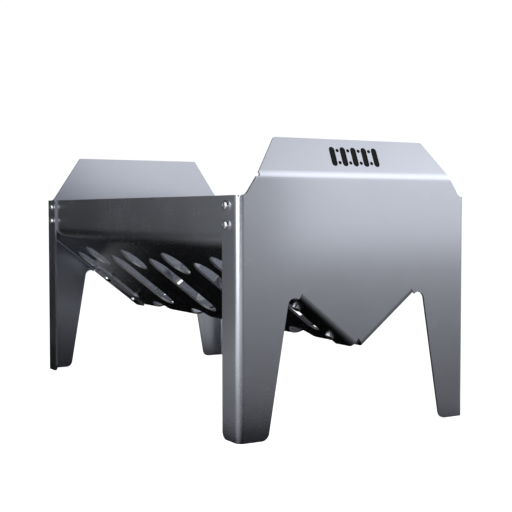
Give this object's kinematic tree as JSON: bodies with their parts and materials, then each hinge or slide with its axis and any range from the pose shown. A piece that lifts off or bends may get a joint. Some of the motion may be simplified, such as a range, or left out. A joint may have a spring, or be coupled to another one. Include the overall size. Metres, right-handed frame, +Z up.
{
  "type": "sheet metal burner stand",
  "caption": "Free-standing bolted sheet-steel stand: end panels with legs carry an open-topped trough with a pierced V-shaped floor for a fire or burner.",
  "frame": {"origin": "on the floor under the middle of the stand", "axes": "+X along the trough towards the panel with the folded top, +Y towards the rear, +Z up"},
  "size_m": [0.57, 0.2966, 0.3075],
  "materials": {
    "panel_steel": "satin brushed",
    "trough_steel": "satin brushed",
    "screw_steel": "polished",
    "nut_steel": "plain"
  },
  "bodies": {
    "root": {"far_end_panel": "panel_steel", "far_front_side_lower_nut": "nut_steel", "far_front_side_lower_screw": "screw_steel", "far_front_side_upper_nut": "nut_steel", "far_front_side_upper_screw": "screw_steel", "far_front_slope_lower_nut": "nut_steel", "far_front_slope_lower_screw": "screw_steel", "far_front_slope_upper_nut": "nut_steel", "far_front_slope_upper_screw": "screw_steel", "far_rear_side_lower_nut": "nut_steel", "far_rear_side_lower_screw": "screw_steel", "far_rear_side_upper_nut": "nut_steel", "far_rear_side_upper_screw": "screw_steel", "far_rear_slope_lower_nut": "nut_steel", "far_rear_slope_lower_screw": "screw_steel", "far_rear_slope_upper_nut": "nut_steel", "far_rear_slope_upper_screw": "screw_steel", "near_end_panel": "panel_steel", "near_front_side_lower_nut": "nut_steel", "near_front_side_lower_screw": "screw_steel", "near_front_side_upper_nut": "nut_steel", "near_front_side_upper_screw": "screw_steel", "near_front_slope_lower_nut": "nut_steel", "near_front_slope_lower_screw": "screw_steel", "near_front_slope_upper_nut": "nut_steel", "near_front_slope_upper_screw": "screw_steel", "near_rear_side_lower_nut": "nut_steel", "near_rear_side_lower_screw": "screw_steel", "near_rear_side_upper_nut": "nut_steel", "near_rear_side_upper_screw": "screw_steel", "near_rear_slope_lower_nut": "nut_steel", "near_rear_slope_lower_screw": "screw_steel", "near_rear_slope_upper_nut": "nut_steel", "near_rear_slope_upper_screw": "screw_steel", "trough": "trough_steel"}
  },
  "joints": []
}
